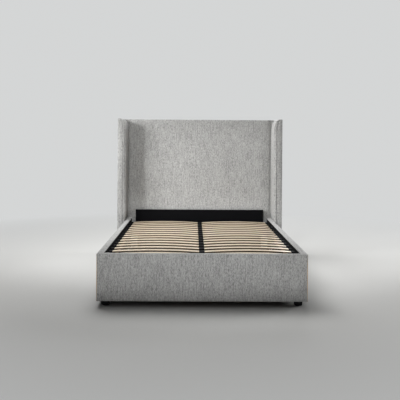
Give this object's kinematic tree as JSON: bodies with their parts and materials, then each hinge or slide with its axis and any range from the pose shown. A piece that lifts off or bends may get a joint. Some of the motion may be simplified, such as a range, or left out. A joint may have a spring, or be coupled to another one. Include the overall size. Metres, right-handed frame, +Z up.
{
  "type": "double bed",
  "caption": "Upholstered double bed with a tall winged headboard, sprung slats and a gas-strut platform that lifts from the foot over a storage box.",
  "frame": {"origin": "on the floor, in the middle of the bed's overall width and length", "axes": "+X across the bed, +Y from the foot to the head, +Z up from the floor"},
  "size_m": [1.616, 2.083, 1.365],
  "materials": {
    "grey_fabric": "woven chenille, speckled light grey",
    "black_lining": "matt black non-woven lining",
    "timber": "planed softwood",
    "plywood": "plywood sheet",
    "floor_board": "smooth hardboard",
    "beech": "lacquered laminated beech",
    "black_board": "board faced in matt black",
    "black_steel": "black powder coat",
    "zinc_steel": "zinc plated",
    "bright_rod": "hard chrome",
    "black_plastic": "matt black moulding",
    "black_rubber": "matt rubber",
    "black_webbing": "woven webbing"
  },
  "bodies": {
    "bed_frame": {"side_rail_left": "timber", "side_rail_right": "timber", "footboard_core": "timber", "side_rail_cover_left": "grey_fabric", "side_rail_cover_right": "grey_fabric", "footboard_cover": "grey_fabric", "base_linings": "black_lining", "headboard_frame": "timber", "headboard_board": "plywood", "headboard_pad": "grey_fabric", "headboard_back_cover": "black_lining", "wing_board_left": "timber", "wing_board_right": "timber", "wing_pad_left": "grey_fabric", "wing_pad_right": "grey_fabric", "wing_cover_left": "grey_fabric", "wing_cover_right": "grey_fabric", "head_rail": "black_board", "floor_ledges": "timber", "floor_bearers": "timber", "floor_panels": "floor_board", "round_feet": "black_plastic", "corner_brackets": "zinc_steel", "frame_bolts": "zinc_steel", "hinge_plates": "black_steel", "hinge_pins": "zinc_steel", "rod_studs": "zinc_steel", "platform_rests": "timber", "rest_buffers": "black_rubber"},
    "platform": {"platform_tube_left": "black_steel", "platform_tube_right": "black_steel", "platform_tube_foot": "black_steel", "platform_tube_head": "black_steel", "platform_tube_centre": "black_steel", "side_slat_caps": "black_plastic", "centre_slat_caps": "black_plastic", "stop_board": "black_board", "lift_tab": "black_webbing", "platform_bolts": "zinc_steel", "lift_arms": "black_steel", "cylinder_studs": "zinc_steel", "slat_row_01": "beech", "slat_row_02": "beech", "slat_row_03": "beech", "slat_row_04": "beech", "slat_row_05": "beech", "slat_row_06": "beech", "slat_row_07": "beech", "slat_row_08": "beech", "slat_row_09": "beech", "slat_row_10": "beech", "slat_row_11": "beech", "slat_row_12": "beech", "slat_row_13": "beech", "slat_row_14": "beech", "slat_row_15": "beech"},
    "strut_rod_left": {"strut_rod_left": "bright_rod"},
    "strut_rod_right": {"strut_rod_right": "bright_rod"},
    "strut_cylinder_left": {"strut_cylinder_left": "black_steel"},
    "strut_cylinder_right": {"strut_cylinder_right": "black_steel"}
  },
  "joints": [
    {"name": "platform_lift", "type": "hinge", "parent": "bed_frame", "child": "platform", "pos_m": [0, 0.5235, 0.312], "axis": [-1, 0, 0], "range_deg": [0, 35]},
    {"name": "strut_tilt_left", "type": "hinge", "parent": "bed_frame", "child": "strut_rod_left", "pos_m": [-0.6641, 0.5235, 0.122], "axis": [-1, 0, 0], "range_deg": [0, 19]},
    {"name": "strut_slide_left", "type": "slide", "parent": "strut_rod_left", "child": "strut_cylinder_left", "axis": [0, -0.7944, 0.6074], "range_m": [0, 0.0812]},
    {"name": "strut_tilt_right", "type": "hinge", "parent": "bed_frame", "child": "strut_rod_right", "pos_m": [0.6641, 0.5235, 0.122], "axis": [-1, 0, 0], "range_deg": [0, 19]},
    {"name": "strut_slide_right", "type": "slide", "parent": "strut_rod_right", "child": "strut_cylinder_right", "axis": [0, -0.7944, 0.6074], "range_m": [0, 0.0812]}
  ],
  "couplings": [
    {"joint": "strut_tilt_left", "follows": "platform_lift", "ratio": 0.5425},
    {"joint": "strut_slide_left", "follows": "platform_lift", "m_per_rad": 0.1329},
    {"joint": "strut_tilt_right", "follows": "platform_lift", "ratio": 0.5425},
    {"joint": "strut_slide_right", "follows": "platform_lift", "m_per_rad": 0.1329}
  ]
}
